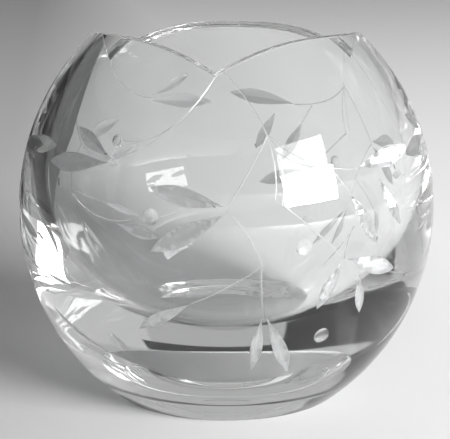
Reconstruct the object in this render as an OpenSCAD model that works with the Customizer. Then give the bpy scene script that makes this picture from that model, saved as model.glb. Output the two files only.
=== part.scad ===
// Rose bowl in clear, thick-walled crystal: one egg-shaped blown bowl with a
// ground base, a rim cut into three petals, and three wheel-cut sprays of matt
// leaves, stems and berries, one hanging from each notch between the petals.
// The origin is on the table, under the middle of the bowl. The front notch is at -Y.

/* [Bowl] */
// Widest diameter of the bowl
bowl_w = 150; // [140:1:162]
// Height of the widest point above the table
belly_z = 67; // [62:0.5:72]
// Radius of the curved side, as a profile gauge would read it
side_r = 85.5; // [82:0.5:92]
// Width of the flat ground ring that the bowl stands on
foot_ring_w = 9.5; // [6:0.5:12]
// Depth of the polished hollow inside that ring
punty_depth = 2.5; // [1:0.1:5]

/* [Rim] */
// Height of the top of each petal
petal_top = 131.5; // [127:0.5:136]
// How far the notches between the petals lie below the tops
petal_rise = 13; // [10:0.5:17]

/* [Inside] */
// Wall thickness at the widest point
wall = 8.4; // [7:0.1:10]
// How far the inside's widest point lies above the outside's
wall_taper_lift = 5; // [3:0.5:7]
// Radius of the inside's curved side
cavity_side_r = 83; // [80:0.5:90]
// Height of the inside floor, which is the thickness of the solid base
floor_z = 17; // [14:0.5:24]
// Radius of the flat middle of the floor
floor_flat_r = 7; // [4:1:14]

/* [Wheel cuts] */
// Width of the broad leaves
broad_leaf_w = 6.8; // [5.5:0.1:7.5]
// Width of the middle-sized leaves
leaf_w = 5; // [4.5:0.1:5.5]
// Width of the narrow leaves
narrow_leaf_w = 4.2; // [3.5:0.1:4.5]
// Width of a stem line
stem_w = 1; // [0.7:0.05:1.4]
// Depth of a stem line, with its matt layer
stem_depth = 0.5; // [0.4:0.05:0.7]
// Diameter of a berry
berry_w = 5.8; // [4.5:0.1:6.4]
// Depth of a berry, with its matt layer
berry_depth = 0.9; // [0.6:0.05:1.3]
// Thickness of the ground, matt layer at the bottom of every cut
matt_t = 0.15; // [0.1:0.01:0.2]

/* [Hidden] */

clear_glass = [0.86, 0.9, 0.91, 0.4];
matt_glass = [0.8, 0.82, 0.83];
petals = 3;
petal_angle = 360 / petals;
round_fn = 180;
cut_fn = 36;
over = 1;

// Centre of the outer side's arc lies this far across the axis
side_shift = side_r - bowl_w / 2;
foot_r = sqrt(side_r * side_r - belly_z * belly_z) - side_shift;
punty_r = foot_r - foot_ring_w;
punty_ball_r = (punty_r * punty_r + punty_depth * punty_depth) / (2 * punty_depth);

// Inside: a side arc, and a fillet that runs from it down to the floor
cavity_z = belly_z + wall_taper_lift;
cavity_shift = cavity_side_r - (bowl_w / 2 - wall);
floor_reach = floor_flat_r + cavity_shift;
floor_drop = cavity_z - floor_z;
floor_fillet_r = (cavity_side_r * cavity_side_r - floor_reach * floor_reach - floor_drop * floor_drop)
    / (2 * (cavity_side_r - floor_drop));
fillet_z = floor_z + floor_fillet_r;
// The two arcs touch at this height, on the line through their centres
join_z = cavity_z + cavity_side_r * (fillet_z - cavity_z) / (cavity_side_r - floor_fillet_r);

// Each petal's edge is an arc, seen from the front, through its top and two notches
notch_top = petal_top - petal_rise;
notch_half_w = bowl_radius(notch_top) * sin(petal_angle / 2);
petal_r = (notch_half_w * notch_half_w + petal_rise * petal_rise) / (2 * petal_rise);

stem_wheel_r = (stem_w * stem_w / 4 + stem_depth * stem_depth) / (2 * stem_depth);
berry_wheel_r = (berry_w * berry_w / 4 + berry_depth * berry_depth) / (2 * berry_depth);

// One spray. A place is [angle from the notch, distance below the notch].
// A stem is one pass of a thin wheel, an arc through three places
SPRAY_STEMS = [
    [[-1, 2], [-12, 14.5], [-26.5, 24]],
    [[1, 2], [9.5, 5], [15, 15]],
    [[15.3, 17], [16.5, 26], [16, 34]],
    [[16.7, 35.5], [23, 42.5], [32, 54]],
    [[17, 16], [25, 24], [37.5, 27.3]],
    [[13.8, 16.5], [10.5, 24], [5, 36]],
    [[6.5, 39.5], [8.5, 45], [12, 54]],
    [[10.8, 55.5], [3, 63], [-4.2, 67.3]],
    [[12.2, 56], [12.2, 63], [13, 71.5]],
    [[-38, 36.5], [-27, 42.5], [-18, 40]],
    [[33, 53], [34.5, 49.5], [36, 45.5]],
    [[32.5, 28.8], [34, 31], [35.2, 33.2]]
];
// A leaf is a mitre cut, [foot place, tip place, width]
SPRAY_LEAVES = [
    [[-28, 23], [-42, 15.5], leaf_w],
    [[-28, 26], [-51, 27.5], broad_leaf_w],
    [[3.5, 36.3], [-15.5, 31.5], broad_leaf_w],
    [[3.5, 39.5], [-15, 51.5], broad_leaf_w],
    [[-24, 44.5], [-12.5, 47], narrow_leaf_w],
    [[-5, 68], [-20, 78.5], narrow_leaf_w],
    [[12.4, 73], [11, 92.5], narrow_leaf_w],
    [[14.2, 73], [22, 94.5], leaf_w],
    [[32, 56], [27, 71.5], leaf_w],
    [[34, 55.5], [52, 62.5], broad_leaf_w],
    [[38.5, 61.5], [41, 75.5], narrow_leaf_w],
    [[38.5, 27], [62.5, 23.5], broad_leaf_w],
    [[35.5, 34.5], [44, 52.5], leaf_w],
    [[46, 31.5], [53.5, 48], leaf_w]
];
SPRAY_BERRIES = [[22.5, 50], [30, 81.5], [-15, 40.5]];

function bowl_radius(z) = sqrt(side_r * side_r - (z - belly_z) * (z - belly_z)) - side_shift;

// The way out of the glass, and a point on the glass, at a place of a spray
function way_out(place) =
    let (up = asin((notch_top - place[1] - belly_z) / side_r))
    [cos(up) * sin(place[0]), -cos(up) * cos(place[0]), sin(up)];
function on_glass(place) =
    let (z = notch_top - place[1], r = bowl_radius(z))
    [r * sin(place[0]), -r * cos(place[0]), z];
function unit(v) = v / norm(v);

// Move drawn axes x, y and z onto three directions, with the origin at a point
module placed(x, y, z, at) {
    multmatrix([
        [x[0], y[0], z[0], at[0]],
        [x[1], y[1], z[1], at[1]],
        [x[2], y[2], z[2], at[2]]
    ]) children();
}

module three_times_round() {
    for (k = [0 : petals - 1]) rotate([0, 0, k * petal_angle]) children();
}

module outer_form() {
    rotate_extrude($fn = round_fn) intersection() {
        translate([-side_shift, belly_z]) circle(r = side_r, $fn = round_fn);
        square([bowl_w, petal_top + over]);
    }
}

// All that lies under a petal's arc, within its third of the circle
module under_petal() {
    reach = 2 * bowl_w;
    half = petal_angle / 2;
    intersection() {
        linear_extrude(height = petal_top + over) polygon([
            [0, 0], [reach * sin(half), -reach * cos(half)], [reach * sin(half), -2 * reach],
            [-reach * sin(half), -2 * reach], [-reach * sin(half), -reach * cos(half)]
        ]);
        translate([0, 0, petal_top - petal_r]) rotate([90, 0, 0])
            cylinder(r = petal_r, h = reach, $fn = 2 * round_fn);
    }
}

// The three petals, and all that lies below the notches, however tight the arcs
module petal_rim() {
    rotate([0, 0, petal_angle / 2]) three_times_round() under_petal();
    cylinder(r = bowl_w, h = notch_top - 2 * over, $fn = round_fn);
}

module cavity() {
    rotate_extrude($fn = round_fn) {
        intersection() {
            translate([-cavity_shift, cavity_z]) circle(r = cavity_side_r, $fn = round_fn);
            translate([0, join_z]) square([bowl_w, petal_top + over - join_z]);
        }
        intersection() {
            translate([floor_flat_r, fillet_z]) circle(r = floor_fillet_r, $fn = round_fn);
            translate([floor_flat_r, 0]) square([bowl_w, join_z]);
        }
        translate([0, floor_z]) square([floor_flat_r, join_z - floor_z]);
    }
}

module punty() {
    translate([0, 0, punty_depth - punty_ball_r]) sphere(r = punty_ball_r, $fn = round_fn);
}

// The wheel's pass for one stem: a ring whose circle runs through three places on the
// glass. Its section is drawn with the way out of the glass along +X
module stem_ring(places) {
    a = on_glass(places[0]);
    b = on_glass(places[1]);
    c = on_glass(places[2]);
    turn = cross(b - a, c - a);
    middle = a + (cross(turn, b - a) * pow(norm(c - a), 2) + cross(c - a, turn) * pow(norm(b - a), 2))
        / (2 * pow(norm(turn), 2));
    x = unit(a - middle);
    z = unit(turn);
    y = cross(z, x);
    sweep = atan2((c - middle) * y, (c - middle) * x);
    lean = atan2(way_out(places[1]) * z, way_out(places[1]) * unit(b - middle));
    placed(x, y, z, middle) rotate_extrude(angle = sweep, $fn = 2 * round_fn)
        translate([norm(a - middle), 0]) rotate(lean) children();
}

module stem_pocket_section() {
    translate([stem_wheel_r - stem_depth, 0]) circle(r = stem_wheel_r, $fn = cut_fn);
}

module stem_matt_section() {
    difference() {
        stem_pocket_section();
        translate([stem_wheel_r - stem_depth + matt_t, 0]) circle(r = stem_wheel_r, $fn = cut_fn);
        translate([0, -stem_w]) square(2 * stem_w);
    }
}

// Stands what it is given on the chord of a leaf, with +X across it, +Y out of the glass
// and +Z from the foot to the tip
module on_chord(leaf) {
    foot = on_glass(leaf[0]);
    tip = on_glass(leaf[1]);
    along = unit(tip - foot);
    side = unit(cross(way_out((leaf[0] + leaf[1]) / 2), along));
    placed(side, cross(along, side), along, foot) children();
}

// How high the glass stands over the middle of a leaf's chord
function chord_depth(leaf) =
    norm(on_glass((leaf[0] + leaf[1]) / 2) - (on_glass(leaf[0]) + on_glass(leaf[1])) / 2);

// The mitre wheel's two flat facets, which meet in a valley sunk below the chord
module mitre(leaf, sunk) {
    long = norm(on_glass(leaf[1]) - on_glass(leaf[0]));
    half_w = leaf[2] / 2;
    deep = chord_depth(leaf);
    slope = (deep - half_w * half_w / (2 * side_r)) / half_w;
    tall = deep + 2 * over;
    translate([0, -sunk, -over]) linear_extrude(height = long + 2 * over)
        polygon([[0, 0], [tall / slope, tall], [-tall / slope, tall]]);
}

// A leaf's outline, two arcs that meet at its foot and its tip
module leaf_outline(leaf) {
    long = norm(on_glass(leaf[1]) - on_glass(leaf[0]));
    arc_r = (long * long + leaf[2] * leaf[2]) / (4 * leaf[2]);
    centre_x = arc_r - leaf[2] / 2;
    translate([0, -over, 0]) rotate([-90, 0, 0]) linear_extrude(height = chord_depth(leaf) + 1.5 * over)
        intersection() {
            translate([centre_x, -long / 2]) circle(r = arc_r, $fn = round_fn);
            translate([-centre_x, -long / 2]) circle(r = arc_r, $fn = round_fn);
        }
}

module leaf_pocket(leaf) {
    on_chord(leaf) intersection() {
        mitre(leaf, matt_t);
        leaf_outline(leaf);
    }
}

module leaf_matt(leaf) {
    on_chord(leaf) difference() {
        intersection() {
            mitre(leaf, matt_t);
            leaf_outline(leaf);
        }
        mitre(leaf, 0);
    }
}

// The ball wheel's touch for one berry, drawn with the way out of the glass along +Z
module on_berry(place) {
    out = way_out(place);
    side = unit(cross([0, 0, 1], out));
    placed(side, cross(out, side), out, on_glass(place)) children();
}

module berry_pocket(place) {
    on_berry(place) translate([0, 0, berry_wheel_r - berry_depth])
        sphere(r = berry_wheel_r, $fn = 2 * cut_fn);
}

module berry_matt(place) {
    on_berry(place) difference() {
        translate([0, 0, berry_wheel_r - berry_depth]) sphere(r = berry_wheel_r, $fn = 2 * cut_fn);
        translate([0, 0, berry_wheel_r - berry_depth + matt_t]) sphere(r = berry_wheel_r, $fn = 2 * cut_fn);
        translate([-berry_w, -berry_w, 0]) cube([2 * berry_w, 2 * berry_w, 4 * berry_w]);
    }
}

module bowl() {
    color(clear_glass) difference() {
        intersection() {
            outer_form();
            petal_rim();
        }
        cavity();
        punty();
        three_times_round() for (leaf = SPRAY_LEAVES) leaf_pocket(leaf);
        three_times_round() for (places = SPRAY_STEMS) stem_ring(places) stem_pocket_section();
        three_times_round() for (place = SPRAY_BERRIES) berry_pocket(place);
    }
}

// The matt layers of one spray, each seated in its pocket in the glass
module leaves(turn) {
    color(matt_glass) rotate([0, 0, turn]) for (leaf = SPRAY_LEAVES) leaf_matt(leaf);
}

module stems(turn) {
    color(matt_glass) rotate([0, 0, turn]) for (places = SPRAY_STEMS) stem_ring(places) stem_matt_section();
}

module berries(turn) {
    color(matt_glass) rotate([0, 0, turn]) for (place = SPRAY_BERRIES) berry_matt(place);
}

bowl();
leaves(0);  // front_leaves
stems(0);  // front_stems
berries(0);  // front_berries
leaves(petal_angle);  // right_leaves
stems(petal_angle);  // right_stems
berries(petal_angle);  // right_berries
leaves(2 * petal_angle);  // left_leaves
stems(2 * petal_angle);  // left_stems
berries(2 * petal_angle);  // left_berries
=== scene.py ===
# %% [markdown]
# A wheel-cut rose bowl
#
# The real bowl is one piece of clear, heavy crystal. It was blown, its rim was ground into three petals
# and polished, and thin wheels cut three sprays of matt leaves, stems and berries into it. This script
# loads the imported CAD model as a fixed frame, builds one finer glass mesh in its place, and lights it
# like a studio photograph.

# %% Load the frame
import math

import bpy
import numpy as np
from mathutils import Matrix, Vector


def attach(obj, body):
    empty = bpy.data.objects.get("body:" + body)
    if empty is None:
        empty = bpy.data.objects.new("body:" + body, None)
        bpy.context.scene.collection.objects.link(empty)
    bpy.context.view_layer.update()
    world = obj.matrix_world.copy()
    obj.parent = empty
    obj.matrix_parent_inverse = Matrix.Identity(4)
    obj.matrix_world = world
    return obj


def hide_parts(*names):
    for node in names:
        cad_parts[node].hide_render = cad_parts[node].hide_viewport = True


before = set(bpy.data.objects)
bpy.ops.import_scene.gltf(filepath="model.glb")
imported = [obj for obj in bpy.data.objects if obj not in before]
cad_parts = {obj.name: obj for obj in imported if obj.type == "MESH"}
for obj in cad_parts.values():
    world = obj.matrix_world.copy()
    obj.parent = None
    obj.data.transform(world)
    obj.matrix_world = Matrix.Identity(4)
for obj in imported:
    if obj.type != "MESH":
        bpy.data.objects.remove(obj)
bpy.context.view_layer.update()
MM = 0.001

# %% [markdown]
# The camera
#
# A long lens from half a metre away, a little above the rim, gives the photograph's calm perspective.
# The place was found by fitting the bowl's outline to the photograph. The camera looks at the bowl's
# axis, and a very small sideways shift puts the axis where the photograph has it.

# %% Camera
VIEW_TURN = 3.7
VIEW_ELEVATION = 12.29
VIEW_DISTANCE = 470
AIM_Z = 61.8
LENS = 102.4
PICTURE_W = 450
AXIS_SHIFT_PIXELS = -1.4


def direction(azimuth, elevation):
    """The way out from the axis, at an angle from the front notch and an angle above the table."""
    a = math.radians(azimuth)
    e = math.radians(elevation)
    return Vector((math.sin(a) * math.cos(e), -math.cos(a) * math.cos(e), math.sin(e)))


camera_data = bpy.data.cameras.new("camera")
camera_data.lens = LENS
camera_data.shift_x = AXIS_SHIFT_PIXELS / PICTURE_W
camera = bpy.data.objects.new("camera", camera_data)
bpy.context.scene.collection.objects.link(camera)
towards_camera = direction(VIEW_TURN, VIEW_ELEVATION)
camera.location = (Vector((0, 0, AIM_Z)) + VIEW_DISTANCE * towards_camera) * MM
camera.rotation_euler = (-towards_camera).to_track_quat("-Z", "Y").to_euler()
bpy.context.scene.camera = camera
print("camera at", [round(v, 3) for v in camera.location])

# %% [markdown]
# The glass body
#
# A blown bowl is a solid of revolution, so its section says nearly everything: a polished hollow under
# the base, a flat foot ring, an egg-shaped side, and an inside with a rounded bottom above a thick base.
# It could be spun with a Screw modifier, but then the rim would be level. Instead, each column of the
# mesh is its own section, whose height follows the petal's edge at that angle. The rim is ground square
# to the wall, and its two edges are polished round.

# %% Sizes of the bowl, in millimetres
BOWL_W = 150
BELLY_Z = 67
SIDE_R = 85.5
FOOT_RING_W = 9.5
PUNTY_DEPTH = 2.5
PETALS = 3
PETAL_ANGLE = 360 / PETALS
PETAL_TOP = 131.5
NOTCH_TOP = 118.5
NOTCH_TOPS = [121.7, 118.5, 116]
PETAL_POWER = 3.15
WALL = 8.4
WALL_TAPER_LIFT = 5
CAVITY_SIDE_R = 83
FLOOR_Z = 17
FLOOR_FLAT_R = 7
RIM_ROUND = 0.9
FOOT_ROUND = 0.4

SIDE_SHIFT = SIDE_R - BOWL_W / 2
FOOT_R = math.sqrt(SIDE_R**2 - BELLY_Z**2) - SIDE_SHIFT
PUNTY_R = FOOT_R - FOOT_RING_W
# The hollow under the base is part of a ball
PUNTY_BALL_R = (PUNTY_R**2 + PUNTY_DEPTH**2) / (2 * PUNTY_DEPTH)
CAVITY_Z = BELLY_Z + WALL_TAPER_LIFT
CAVITY_SHIFT = CAVITY_SIDE_R - (BOWL_W / 2 - WALL)
FLOOR_REACH = FLOOR_FLAT_R + CAVITY_SHIFT
FLOOR_DROP = CAVITY_Z - FLOOR_Z
FILLET_R = (CAVITY_SIDE_R**2 - FLOOR_REACH**2 - FLOOR_DROP**2) / (2 * (CAVITY_SIDE_R - FLOOR_DROP))
FILLET_Z = FLOOR_Z + FILLET_R
JOIN_Z = CAVITY_Z + CAVITY_SIDE_R * (FILLET_Z - CAVITY_Z) / (CAVITY_SIDE_R - FILLET_R)
print("foot radius", round(FOOT_R, 2), "inside fillet", round(FILLET_R, 2))

# %% One section of the glass
OUTER_CENTRE = np.array([-SIDE_SHIFT, BELLY_Z])
INNER_CENTRE = np.array([-CAVITY_SHIFT, CAVITY_Z])
FILLET_CENTRE = np.array([FLOOR_FLAT_R, FILLET_Z])
PUNTY_CENTRE = np.array([0, PUNTY_DEPTH - PUNTY_BALL_R])
AROUND = 300
PUNTY_ROWS = 14
FOOT_ROWS = 6
OUTER_ROWS = 76
ROUND_ROWS = 6
INNER_ROWS = 26
FILLET_ROWS = 70
FLOOR_ROWS = 5


def outward(angle):
    """A way in the section's plane, at an angle above level, as (away from the axis, up)."""
    return np.array([math.cos(angle), math.sin(angle)])


def arc(centre, radius, start, end, rows):
    """Points along an arc of the section, without its first point."""
    return [centre + radius * outward(a) for a in np.linspace(start, end, rows + 1)[1:]]


def rounded(before, corner, after, rows):
    """Points that turn a corner in a soft bend, without the first point."""
    points = []
    for step in np.linspace(0, math.pi / 2, rows + 1)[1:]:
        from_before = (1 - math.sin(step)) * (before - corner)
        from_after = (1 - math.cos(step)) * (after - corner)
        points.append(corner + from_before + from_after)
    return points


def section(rim_z):
    """The glass cut from the middle of the base, out round the side and the rim, to the middle inside."""
    rim_up = math.asin((rim_z - BELLY_Z) / SIDE_R)
    out = outward(rim_up)
    up = np.array([-out[1], out[0]])
    outer_edge = OUTER_CENTRE + SIDE_R * out
    reach = outer_edge - INNER_CENTRE
    along = reach @ out
    thick = along - math.sqrt(along**2 - reach @ reach + CAVITY_SIDE_R**2)
    inner_edge = outer_edge - thick * out
    inner_out = (inner_edge - INNER_CENTRE) / CAVITY_SIDE_R
    inner_top = math.atan2(inner_out[1], inner_out[0]) - RIM_ROUND / CAVITY_SIDE_R
    join = math.atan2(*(FILLET_CENTRE - INNER_CENTRE)[::-1])
    foot_up = -math.acos((FOOT_R + SIDE_SHIFT) / SIDE_R) + FOOT_ROUND / SIDE_R
    side_start = OUTER_CENTRE + SIDE_R * outward(foot_up)

    points = []
    for r in np.linspace(0, PUNTY_R, PUNTY_ROWS + 1)[1:]:
        points.append(np.array([r, PUNTY_CENTRE[1] + math.sqrt(PUNTY_BALL_R**2 - r**2)]))
    ring_end = np.array([FOOT_R - FOOT_ROUND, 0])
    points += [np.array([(PUNTY_R + ring_end[0]) / 2, 0]), ring_end]
    points += rounded(ring_end, np.array([FOOT_R, 0]), side_start, FOOT_ROWS)
    points += arc(OUTER_CENTRE, SIDE_R, foot_up, rim_up - RIM_ROUND / SIDE_R, OUTER_ROWS)
    points += rounded(points[-1], outer_edge, outer_edge - RIM_ROUND * out, ROUND_ROWS)
    face_end = inner_edge + RIM_ROUND * out
    points.append(face_end)
    inner_start = INNER_CENTRE + CAVITY_SIDE_R * outward(inner_top)
    points += rounded(face_end, inner_edge, inner_start, ROUND_ROWS)
    points += arc(INNER_CENTRE, CAVITY_SIDE_R, inner_top, join, INNER_ROWS)
    points += arc(FILLET_CENTRE, FILLET_R, join, -math.pi / 2, FILLET_ROWS)
    points += [np.array([r, FLOOR_Z]) for r in np.linspace(FLOOR_FLAT_R, 0, FLOOR_ROWS + 1)[1:-1]]
    return points


def petal_edge(azimuth):
    """Height of the rim at an angle from the front notch. Hand cutting left each notch its own depth."""
    from_top = abs((azimuth % PETAL_ANGLE) - PETAL_ANGLE / 2) / (PETAL_ANGLE / 2)
    nearest = NOTCH_TOPS[round(azimuth / PETAL_ANGLE) % PETALS]
    return PETAL_TOP - (PETAL_TOP - nearest) * from_top**PETAL_POWER


print("points in a section:", len(section(PETAL_TOP)))

# %% Spin the sections into one closed mesh
def bowl_mesh():
    """All the columns side by side, closed by a fan at the middle of the base and one inside."""
    columns = [np.array(section(petal_edge(360 * k / AROUND))) for k in range(AROUND)]
    rows = len(columns[0])
    vertices = [(0, 0, PUNTY_DEPTH * MM), (0, 0, FLOOR_Z * MM)]
    for k, column in enumerate(columns):
        a = 2 * math.pi * k / AROUND
        for r, z in column:
            vertices.append((r * math.sin(a) * MM, -r * math.cos(a) * MM, z * MM))
    faces = []
    for k in range(AROUND):
        here = 2 + k * rows
        beside = 2 + (k + 1) % AROUND * rows
        faces.append((0, beside, here))
        faces += [(here + i, beside + i, beside + i + 1, here + i + 1) for i in range(rows - 1)]
        faces.append((1, here + rows - 1, beside + rows - 1))
    mesh = bpy.data.meshes.new("glass_bowl")
    mesh.from_pydata(vertices, [], faces)
    mesh.update()
    return mesh


glass = bpy.data.objects.new("glass_bowl", bowl_mesh())
bpy.context.scene.collection.objects.link(glass)
print("plain bowl:", len(glass.data.polygons), "faces")

# %% [markdown]
# The wheel cuts
#
# A leaf is cut with a mitre wheel, whose edge is a blunt V: pressed in along a line, it leaves two flat
# facets that meet in a midrib. A stem is one light pass of a thin round-edged wheel, and a berry one
# touch of a small ball wheel. Painted leaves would look flat from every side, so each cut is real: a
# cutter with the wheel's own section is swept over the glass and taken away with a Boolean. Each spray
# is drawn once, as places on the glass, and turned to all three notches.

# %% The spray, as places of [angle from the notch, mm below the notch]
FAN = [14.6, 15.6]
SPRAY_STEMS = [
    [[2, -4.5], [-12, 14.5], [-28, 24.4]],
    [[1, -4.5], [9.5, 5], FAN],
    [FAN, [16, 26], [15.6, 35]],
    [FAN, [17.8, 26], [17.3, 36.5]],
    [[17.3, 36.5], [23, 42.5], [33.6, 55.3]],
    [FAN, [25, 24], [38.5, 27.4]],
    [FAN, [10.5, 24], [3.5, 37.8]],
    [[3.5, 37.8], [8.5, 45], [12.3, 55.5]],
    [[12.3, 55.5], [3, 63], [-5, 67.9]],
    [[12.3, 55.5], [12.2, 63], [13.2, 73]],
    [[-38.5, 36.3], [-27, 42.5], [-16, 40.2]],
    [[33.6, 55.3], [34.5, 49.5], [36.5, 45]],
    [[36.5, 45], [33, 50], [27.5, 56.5]],
    [[31.5, 27], [34, 31], [36, 34.8]],
]
# A leaf is [foot, tip, width in mm]
SPRAY_LEAVES = [
    [[-28, 23.6], [-42, 15.5], 5],
    [[-28, 25.2], [-51, 27.5], 7],
    [[3.5, 36.9], [-15.5, 31.5], 6.5],
    [[3.5, 38.8], [-15, 51.5], 7],
    [[-24, 43.5], [-12.5, 47], 4.2],
    [[-5, 68], [-20, 78.5], 4.5],
    [[12.6, 73], [11, 92.5], 4.2],
    [[13.8, 73], [22, 94.5], 5],
    [[33, 56], [27, 71.5], 5],
    [[34, 55.4], [52, 62.5], 6.5],
    [[38.5, 61.5], [41, 75.5], 4],
    [[38.5, 27.2], [62.5, 23.5], 7],
    [[36, 34.6], [44, 52.5], 5.5],
    [[46, 31], [53.5, 48], 5],
]
SPRAY_BERRIES = [[22.5, 50], [30, 81.5], [-15, 40.5]]
STEM_W = 0.5
STEM_DEPTH = 0.16
BERRY_W = 5.8
BERRY_DEPTH = 0.7
# How far a cutter stands out of the glass, in mm
STAND_OUT = 0.6
spray = {"leaves": SPRAY_LEAVES, "stems": SPRAY_STEMS, "berries": SPRAY_BERRIES}
print("cuts in a spray:", {name: len(cuts) for name, cuts in spray.items()})


# %% Places on the glass
# A cutter finds its direction by looking this share of its path ahead
LOOK_AHEAD = 0.01


def on_glass(place, turn):
    """A place's point on the outer side, and the way out of the glass there, in millimetres."""
    up = math.asin((NOTCH_TOP - place[1] - BELLY_Z) / SIDE_R)
    out = direction(place[0] + turn, math.degrees(up))
    level = direction(place[0] + turn, 0)
    point = level * (SIDE_R * math.cos(up) - SIDE_SHIFT) + Vector((0, 0, BELLY_Z + SIDE_R * math.sin(up)))
    return point, out


def between(a, b, t):
    """The place a share t of the way from a to b."""
    return [a[0] + (b[0] - a[0]) * t, a[1] + (b[1] - a[1]) * t]


def swept(rings):
    """Vertices and faces of a closed skin over rings of points, each ring with the same count."""
    count = len(rings[0])
    vertices = [p * MM for ring in rings for p in ring]
    faces = [tuple(range(count))[::-1]]
    for i in range(len(rings) - 1):
        for j in range(count):
            k = (j + 1) % count
            faces.append((i * count + j, i * count + k, (i + 1) * count + k, (i + 1) * count + j))
    faces.append(tuple(range((len(rings) - 1) * count, len(rings) * count)))
    return vertices, faces


print("notch in mm:", [round(v, 1) for v in on_glass([0, 0], 0)[0]])

# %% The mitre wheel: one leaf
LEAF_STEPS = 22
LEAF_FULLEST = 0.58
LEAF_SLOPE = 0.3


def leaf_fullness(t):
    """Share of the leaf's full width at a share of its length, with pointed ends."""
    bulge = math.log(0.5) / math.log(LEAF_FULLEST)
    return math.sin(math.pi * max(0, min(1, t)) ** bulge)


def leaf_cutter(leaf, turn):
    """A V-shaped blade that follows the glass and dips below it between the leaf's foot and tip."""
    foot, tip, width = leaf
    rings = []
    for i in range(-1, LEAF_STEPS + 2):
        t = i / LEAF_STEPS
        point, out = on_glass(between(foot, tip, t), turn)
        ahead, _ = on_glass(between(foot, tip, t + LOOK_AHEAD), turn)
        side = (ahead - point).cross(out).normalized()
        inside_leaf = 0 <= i <= LEAF_STEPS
        deep = LEAF_SLOPE * width / 2 * leaf_fullness(t) if inside_leaf else -STAND_OUT / 2
        top = point + out * STAND_OUT
        spread = (STAND_OUT + deep) / LEAF_SLOPE
        rings.append([point - out * deep, top + side * spread, top - side * spread])
    return swept(rings)


print("points in a leaf cutter:", len(leaf_cutter(SPRAY_LEAVES[0], 0)[0]))

# %% The thin wheel: one stem
STEM_STEPS = 26
STEM_SIDES = 10


def stem_place(places, t):
    """A smooth bend through three places."""
    a, b, c = places
    first = between(a, b, 2 * t)
    second = between(b, c, 2 * t - 1)
    return between(first, second, t)


def stem_cutter(places, turn):
    """A round-edged wheel's path, lifted out of the glass at both ends."""
    wheel_r = (STEM_W**2 / 4 + STEM_DEPTH**2) / (2 * STEM_DEPTH)
    rings = []
    for i in range(STEM_STEPS + 1):
        t = i / STEM_STEPS
        point, out = on_glass(stem_place(places, t), turn)
        ahead, _ = on_glass(stem_place(places, t + LOOK_AHEAD), turn)
        side = (ahead - point).cross(out).normalized()
        middle = point + out * (wheel_r - STEM_DEPTH)
        angles = [2 * math.pi * (j + 0.5) / STEM_SIDES for j in range(STEM_SIDES)]
        rings.append([middle + wheel_r * (math.cos(a) * out + math.sin(a) * side) for a in angles])
    return swept(rings)


print("points in a stem cutter:", len(stem_cutter(SPRAY_STEMS[0], 0)[0]))

# %% The ball wheel: one berry
BERRY_SIDES = 32
BERRY_RINGS = 40
# The ball's end rings lie this share of a step from its poles
POLE_SHARE = 0.3


def berry_cutter(place, turn):
    """A ball that dips into the glass."""
    ball_r = (BERRY_W**2 / 4 + BERRY_DEPTH**2) / (2 * BERRY_DEPTH)
    point, out = on_glass(place, turn)
    side = out.orthogonal().normalized()
    across = out.cross(side)
    middle = point + out * (ball_r - BERRY_DEPTH)
    rings = []
    for i in range(BERRY_RINGS + 1):
        down = math.pi * (i + POLE_SHARE) / (BERRY_RINGS + 2 * POLE_SHARE)
        ring = []
        for j in range(BERRY_SIDES):
            a = 2 * math.pi * j / BERRY_SIDES
            level = math.cos(a) * across + math.sin(a) * side
            ring.append(middle + ball_r * (math.cos(down) * out + math.sin(down) * level))
        rings.append(ring)
    return swept(rings)


print("points in a berry cutter:", len(berry_cutter(SPRAY_BERRIES[0], 0)[0]))

# %% [markdown]
# Clear and ground crystal
#
# Polished crystal is a Principled BSDF with full transmission and the refraction of lead glass. It isn't
# quite perfect: the side is very faintly wavy from blowing, and the ring it stands on is rubbed dull. The
# ground cuts are the same glass with a rough surface, which scatters what passes through it. A stone
# wheel also leaves fine grain, so a fine noise drives the bump and a broad one the roughness. One group
# makes both for every finish, each with its own grain size.

# %% Surface grain, as a node group
CRYSTAL_IOR = 1.54
NOISE_DETAIL = 2
GRAIN_PER_METRE = 2500
PATCHES_PER_METRE = 350


def surface_grain_group():
    """A height for bump from a fine noise, and a mask from 0 to 1 from a broad one."""
    group = bpy.data.node_groups.new("surface_grain", "ShaderNodeTree")
    for name, per_metre in (("Fine per metre", GRAIN_PER_METRE), ("Broad per metre", PATCHES_PER_METRE)):
        socket = group.interface.new_socket(name, in_out="INPUT", socket_type="NodeSocketFloat")
        socket.default_value = per_metre
    for name in ("Height", "Mask"):
        group.interface.new_socket(name, in_out="OUTPUT", socket_type="NodeSocketFloat")
    given = group.nodes.new("NodeGroupInput")
    made = group.nodes.new("NodeGroupOutput")
    place = group.nodes.new("ShaderNodeTexCoord")
    for size, result in (("Fine per metre", "Height"), ("Broad per metre", "Mask")):
        noise = group.nodes.new("ShaderNodeTexNoise")
        noise.inputs["Detail"].default_value = NOISE_DETAIL
        group.links.new(place.outputs["Object"], noise.inputs["Vector"])
        group.links.new(given.outputs[size], noise.inputs["Scale"])
        group.links.new(noise.outputs["Fac"], made.inputs[result])
    return group


surface_grain = surface_grain_group()
print("grain sockets:", [item.name for item in surface_grain.interface.items_tree])


# %% Helpers for the finishes
def new_material(name):
    """A crystal material, with its node tree's shader."""
    material = bpy.data.materials.new(name)
    material.use_nodes = True
    shader = material.node_tree.nodes["Principled BSDF"]
    shader.inputs["IOR"].default_value = CRYSTAL_IOR
    return material, shader


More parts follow.
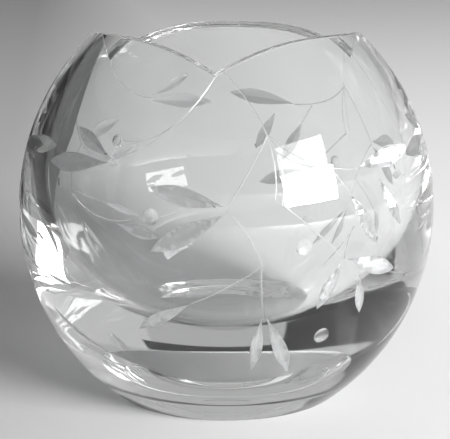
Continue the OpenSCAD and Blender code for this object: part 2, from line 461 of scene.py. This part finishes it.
def add_grain(material, shader, fine, broad, depth, roughness):
    """Puts a bump that many metres deep on a material, and makes a roughness between two values."""
    nodes, links = material.node_tree.nodes, material.node_tree.links
    grain = nodes.new("ShaderNodeGroup")
    grain.node_tree = surface_grain
    grain.inputs["Fine per metre"].default_value = fine
    grain.inputs["Broad per metre"].default_value = broad
    bump = nodes.new("ShaderNodeBump")
    bump.inputs["Distance"].default_value = depth
    links.new(grain.outputs["Height"], bump.inputs["Height"])
    links.new(bump.outputs["Normal"], shader.inputs["Normal"])
    spread = nodes.new("ShaderNodeMapRange")
    spread.inputs["To Min"].default_value, spread.inputs["To Max"].default_value = roughness
    links.new(grain.outputs["Mask"], spread.inputs["Value"])
    return spread


print("refraction of the crystal:", CRYSTAL_IOR)

# %% Clear crystal, with a rubbed foot ring
CLEAR_COLOUR = (0.985, 0.99, 0.99, 1)
WAVES_PER_METRE = 22
WAVE_DEPTH = 0.00002
SCUFFS_PER_METRE = 900
RUBBED_BELOW = 0.0004
RUBBED_ROUGHNESS = (0, 0.05)

clear_crystal, shader = new_material("clear_crystal")
shader.inputs["Base Color"].default_value = CLEAR_COLOUR
shader.inputs["Transmission Weight"].default_value = 1
scuffs = add_grain(clear_crystal, shader, WAVES_PER_METRE, SCUFFS_PER_METRE, WAVE_DEPTH, RUBBED_ROUGHNESS)
nodes, links = clear_crystal.node_tree.nodes, clear_crystal.node_tree.links
place = nodes.new("ShaderNodeTexCoord")
axes = nodes.new("ShaderNodeSeparateXYZ")
on_foot = nodes.new("ShaderNodeMath")
on_foot.operation = "LESS_THAN"
on_foot.inputs[1].default_value = RUBBED_BELOW
dull = nodes.new("ShaderNodeMath")
dull.operation = "MULTIPLY"
links.new(place.outputs["Object"], axes.inputs["Vector"])
links.new(axes.outputs["Z"], on_foot.inputs[0])
links.new(on_foot.outputs["Value"], dull.inputs[0])
links.new(scuffs.outputs["Result"], dull.inputs[1])
links.new(dull.outputs["Value"], shader.inputs["Roughness"])
print("rubbed below", RUBBED_BELOW / MM, "mm")

# %% Ground crystal: matt leaves, and smoother stems and berries
GROUND_COLOUR = (0.96, 0.96, 0.96, 1)


def ground_crystal(name, transmission, grain_depth, roughness):
    """Crystal that a wheel has ground: rough, grainy and partly see-through."""
    material, shader = new_material(name)
    shader.inputs["Base Color"].default_value = GROUND_COLOUR
    shader.inputs["Transmission Weight"].default_value = transmission
    frost = add_grain(material, shader, GRAIN_PER_METRE, PATCHES_PER_METRE, grain_depth, roughness)
    material.node_tree.links.new(frost.outputs["Result"], shader.inputs["Roughness"])
    return material


# Transmission, depth of the grain in metres, and roughness of each ground finish
LEAF_FINISH = (0.45, 0.00004, (0.32, 0.48))
FINE_CUT_FINISH = (0.93, 0.00002, (0.18, 0.28))
matt_crystal = ground_crystal("matt_crystal", *LEAF_FINISH)
fine_cut_crystal = ground_crystal("fine_cut_crystal", *FINE_CUT_FINISH)
print("materials:", [m.name for m in (clear_crystal, matt_crystal, fine_cut_crystal)])

# %% [markdown]
# Cutting
#
# The three copies of one cut never touch, so they are taken away together, one Boolean for each of the
# spray's cuts. The Manifold solver is fast and exact on closed meshes, and it gives the new faces the
# cutter's own material, so each cut comes out matt and its edge stays crisp.

# %% Cut the sprays
TURNS = [k * PETAL_ANGLE for k in range(PETALS)]


def take_away(body, made, finish):
    """Subtracts closed pieces of mesh from the body, all in one Boolean, and leaves their finish."""
    vertices, faces = [], []
    for piece_vertices, piece_faces in made:
        faces += [tuple(i + len(vertices) for i in face) for face in piece_faces]
        vertices += piece_vertices
    mesh = bpy.data.meshes.new("cutter")
    mesh.from_pydata(vertices, [], faces)
    mesh.materials.append(finish)
    mesh.update()
    cutter = bpy.data.objects.new("cutter", mesh)
    bpy.context.scene.collection.objects.link(cutter)
    cut = body.modifiers.new("cut", "BOOLEAN")
    cut.operation = "DIFFERENCE"
    cut.solver = "MANIFOLD"
    cut.material_mode = "TRANSFER"
    cut.object = cutter
    done = bpy.data.meshes.new_from_object(body.evaluated_get(bpy.context.evaluated_depsgraph_get()))
    body.modifiers.remove(cut)
    body.data = done
    bpy.data.objects.remove(cutter)


glass.data.materials.append(clear_crystal)
for leaf in SPRAY_LEAVES:
    take_away(glass, [leaf_cutter(leaf, turn) for turn in TURNS], matt_crystal)
for places in SPRAY_STEMS:
    take_away(glass, [stem_cutter(places, turn) for turn in TURNS], fine_cut_crystal)
for place in SPRAY_BERRIES:
    take_away(glass, [berry_cutter(place, turn) for turn in TURNS], fine_cut_crystal)
print("cut bowl:", len(glass.data.polygons), "faces,", [m.name for m in glass.data.materials])

# %% [markdown]
# Polish
#
# Glass shows every wrong normal as a ripple. The cuts leave odd-shaped faces beside them, whose averaged
# normals would be a little off. The side and the inside are known surfaces, so each corner there is
# given the surface's true normal. Cuts, rim and foot keep the mesh's own, with edges over 25 degrees sharp.

# %% True normals on the polished surfaces
# A corner counts as on a surface within this many mm of it, and up to this many mm past the surface's ends
ON_SURFACE = 0.03
PAST_END = 1
SHARP_EDGE = 25
NEARLY_ZERO = 1e-9


def true_normals(mesh):
    """Custom normals: exact on the side, the inside and the hollow under the base, and plain elsewhere."""
    mesh.shade_smooth()
    mesh.set_sharp_from_angle(angle=math.radians(SHARP_EDGE))
    loops = len(mesh.loops)
    corner_vertex = np.zeros(loops, int)
    mesh.loops.foreach_get("vertex_index", corner_vertex)
    points = np.zeros(len(mesh.vertices) * 3)
    mesh.vertices.foreach_get("co", points)
    corners = points.reshape(-1, 3)[corner_vertex] / MM
    counts = np.zeros(len(mesh.polygons), int)
    mesh.polygons.foreach_get("loop_total", counts)
    face_of = np.repeat(np.arange(len(counts)), counts)
    finish = np.zeros(len(counts), int)
    mesh.polygons.foreach_get("material_index", finish)
    clear = finish == 0
    radius = np.hypot(corners[:, 0], corners[:, 1])
    across = np.stack([radius, corners[:, 2]], 1)
    around = corners[:, :2] / np.maximum(radius, NEARLY_ZERO)[:, None]
    normals = np.zeros((loops, 3))

    def polish(centre, ball_r, facing, low, high):
        """Gives one arc's surface its normals, away from its centre (facing 1) or towards it (-1)."""
        reach = across - centre
        far = np.linalg.norm(reach, axis=1)
        near = (np.abs(far - ball_r) < ON_SURFACE) & (across[:, 1] > low) & (across[:, 1] < high)
        whole = np.bincount(face_of, weights=near) == counts
        chosen = (whole & clear)[face_of]
        way = facing * reach / far[:, None]
        full = np.column_stack([around * way[:, :1], way[:, 1]])
        normals[chosen] = full[chosen]
        return int((whole & clear).sum())

    done = [
        polish(OUTER_CENTRE, SIDE_R, 1, 0, PETAL_TOP),
        polish(INNER_CENTRE, CAVITY_SIDE_R, -1, JOIN_Z - PAST_END, PETAL_TOP),
        polish(FILLET_CENTRE, FILLET_R, -1, FLOOR_Z - PAST_END, JOIN_Z + PAST_END),
        polish(PUNTY_CENTRE, PUNTY_BALL_R, -1, -PAST_END, PUNTY_DEPTH + PAST_END),
    ]
    mesh.normals_split_custom_set(normals.tolist())
    return done


print("faces with true normals:", true_normals(glass.data))
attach(glass, "root")
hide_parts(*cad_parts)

# %% [markdown]
# Studio
#
# Clear glass has no colour of its own: it shows the room. A plain pale sheet runs far back under the bowl,
# and painted shade darkens its colour to the left, for the light falling off away from the window. One
# large window on the right gives the white reflection. Round them is a plain grey room. A photographer
# would hang black cards out of view, because glass bends them into the dark lines that draw its edges, so a
# few cards are laid over the room here. Real cards would show in other views, so the camera's own rays pass
# them by and see only pale tones.

# %% Helpers for sums and mixes in a node tree
def math_node(tree, operation, *values):
    """A Math node on values that are each a socket or a number."""
    node = tree.nodes.new("ShaderNodeMath")
    node.operation = operation
    for socket, value in zip(node.inputs, values):
        if isinstance(value, bpy.types.NodeSocket):
            tree.links.new(value, socket)
        else:
            socket.default_value = value
    return node.outputs["Value"]


def tone_mix(tree, factor, first, second):
    """A Mix node from a first tone to a second, each a socket or a number."""
    node = tree.nodes.new("ShaderNodeMix")
    node.data_type = "RGBA"
    tree.links.new(factor, node.inputs["Factor"])
    for socket, tone in ((node.inputs["A"], first), (node.inputs["B"], second)):
        if isinstance(tone, bpy.types.NodeSocket):
            tree.links.new(tone, socket)
        else:
            socket.default_value = (tone, tone, tone, 1)
    return node.outputs["Result"]


def set_range(node, **ends):
    """Sets a Map Range node's ends, such as from_min=0."""
    for name, value in ends.items():
        node.inputs[name.replace("_", " ").title()].default_value = value


print("helpers:", [helper.__name__ for helper in (math_node, tone_mix, set_range)])

# %% Floor
FLOOR_SIZE = 12
FLOOR_GAP = 0.0003
BRIGHT_SHEET = 0.87
# The sheet's colour at the left, darkened as painted shade for the light falling off there
PAINTED_SHADE_SHEET = 0.46
SHEET_ROUGHNESS = 0.9
# Painted shade: the sheet's colour goes from its bright tone to its shaded one between these places left of
# the bowl, in metres
PAINTED_SHADE_FROM = -0.15
PAINTED_SHADE_TO = 0.1
# Lines of one tone fan out to the left by this many metres for each metre forward or back
FAN_OUT = 0.2
# Left of this place the sheet has a black card on it
CARD_ON_FLOOR_FROM = 0.13
BLACK_CARD = 0.01

floor_mesh = bpy.data.meshes.new("floor")
half = FLOOR_SIZE / 2
corners = ((-half, -half), (half, -half), (half, half), (-half, half))
floor_mesh.from_pydata([(x, y, -FLOOR_GAP) for x, y in corners], [], [(0, 1, 2, 3)])
floor = bpy.data.objects.new("floor", floor_mesh)
bpy.context.scene.collection.objects.link(floor)
floor_paint = bpy.data.materials.new("floor_paint")
floor_paint.use_nodes = True
tree = floor_paint.node_tree
shader = tree.nodes["Principled BSDF"]
shader.inputs["Roughness"].default_value = SHEET_ROUGHNESS
place = tree.nodes.new("ShaderNodeTexCoord")
axes = tree.nodes.new("ShaderNodeSeparateXYZ")
tree.links.new(place.outputs["Object"], axes.inputs["Vector"])
fanned = math_node(tree, "MULTIPLY", math_node(tree, "ABSOLUTE", axes.outputs["Y"]), -FAN_OUT)
to_left = math_node(tree, "SUBTRACT", fanned, axes.outputs["X"])
# Painted shade: the sheet's colour darkens to the left, as if less of the window's light fell there
tone = tree.nodes.new("ShaderNodeMapRange")
set_range(tone, from_min=PAINTED_SHADE_FROM, from_max=PAINTED_SHADE_TO, to_min=BRIGHT_SHEET, to_max=PAINTED_SHADE_SHEET)
tree.links.new(to_left, tone.inputs["Value"])
# Every ray but the camera's own sees the black card
seen = tree.nodes.new("ShaderNodeLightPath")
on_card = math_node(tree, "GREATER_THAN", to_left, CARD_ON_FLOOR_FROM)
not_camera = math_node(tree, "SUBTRACT", 1, seen.outputs["Is Camera Ray"])
card_seen = math_node(tree, "MULTIPLY", on_card, not_camera)
sheet_tone = tone_mix(tree, card_seen, tone.outputs["Result"], BLACK_CARD)
tree.links.new(sheet_tone, shader.inputs["Base Color"])
floor.data.materials.append(floor_paint)
print("sheet of", FLOOR_SIZE, "m, from", BRIGHT_SHEET, "to", PAINTED_SHADE_SHEET)

# %% Window
# Angles are in degrees and lengths in metres. Radiance is in watts for each square metre and steradian.
WINDOW_AZIMUTH = 49.7
WINDOW_ELEVATION = 14.1
WINDOW_DISTANCE = 3.2
WINDOW_W = 1.72
WINDOW_H = 0.81
WINDOW_RADIANCE = 66
window_data = bpy.data.lights.new("window", "AREA")
window_data.shape = "RECTANGLE"
window_data.size = WINDOW_W
window_data.size_y = WINDOW_H
window_data.energy = WINDOW_RADIANCE * math.pi * WINDOW_W * WINDOW_H
window = bpy.data.objects.new("window", window_data)
bpy.context.scene.collection.objects.link(window)
to_window = direction(WINDOW_AZIMUTH, WINDOW_ELEVATION)
window.location = Vector((0, 0, AIM_Z)) * MM + to_window * WINDOW_DISTANCE
window.rotation_euler = to_window.to_track_quat("Z", "Y").to_euler()
print("window at", [round(v, 2) for v in window.location], "with", round(window_data.energy), "W")

# %% Room and cards
ROOM_TONE = 0.38
PALE_BACKDROP = 0.8
# Width of a card's soft edge, in degrees
SOFT_EDGE = 2
# A card is its middle's azimuth, half its width, its foot and its top, all in degrees, and its tone
CARDS = {
    "lit wall": (100, 45, -90, 32, 0.5),
    "gap over the sheet": (-170, 50, 22.5, 32.5, 0.02),
    "left flag": (-100, 48, -90, 32.5, BLACK_CARD),
}
world = bpy.data.worlds.new("room")
bpy.context.scene.world = world
world.use_nodes = True
tree = world.node_tree
way = tree.nodes.new("ShaderNodeTexCoord")
axes = tree.nodes.new("ShaderNodeSeparateXYZ")
tree.links.new(way.outputs["Generated"], axes.inputs["Vector"])
towards_front = math_node(tree, "MULTIPLY", axes.outputs["Y"], -1)
turn = math_node(tree, "ARCTAN2", axes.outputs["X"], towards_front)
turn_degrees = math_node(tree, "MULTIPLY", turn, math.degrees(1))
up_degrees = math_node(tree, "MULTIPLY", math_node(tree, "ARCSINE", axes.outputs["Z"]), math.degrees(1))


def within(value, middle, reach):
    """1 where a value lies within reach of its middle, and 0 outside, with a soft edge."""
    away = math_node(tree, "ABSOLUTE", math_node(tree, "SUBTRACT", value, middle))
    edge = tree.nodes.new("ShaderNodeMapRange")
    edge.interpolation_type = "SMOOTHSTEP"
    set_range(edge, from_min=reach + SOFT_EDGE / 2, from_max=reach - SOFT_EDGE / 2)
    tree.links.new(away, edge.inputs["Value"])
    return edge.outputs["Result"]


shown = ROOM_TONE
for middle, half_width, foot, top, card_tone in CARDS.values():
    past_middle = math_node(tree, "SUBTRACT", turn_degrees, middle)
    from_middle = math_node(tree, "WRAP", past_middle, 180, -180)
    across = within(from_middle, 0, half_width)
    upright = within(up_degrees, (foot + top) / 2, (top - foot) / 2)
    card = math_node(tree, "MULTIPLY", across, upright)
    shown = tone_mix(tree, card, shown, card_tone)
# The camera sees a pale backdrop in place of the room
seen = tree.nodes.new("ShaderNodeLightPath")
backed = tone_mix(tree, seen.outputs["Is Camera Ray"], shown, PALE_BACKDROP)
tree.links.new(backed, tree.nodes["Background"].inputs["Color"])
tree.nodes["Background"].inputs["Strength"].default_value = 1
print("cards:", list(CARDS))

# %% [markdown]
# Light paths
#
# Light goes in and out of thick glass many times before it leaves. With the usual few bounces a path
# would end inside the glass and show black, so a path here may bounce more often.

# %% Bounces and colour
MAX_BOUNCES = 40
cycles = bpy.context.scene.cycles
cycles.max_bounces = MAX_BOUNCES
cycles.glossy_bounces = MAX_BOUNCES
cycles.transmission_bounces = MAX_BOUNCES
bpy.context.scene.view_settings.view_transform = "Standard"
print("bounces:", MAX_BOUNCES)
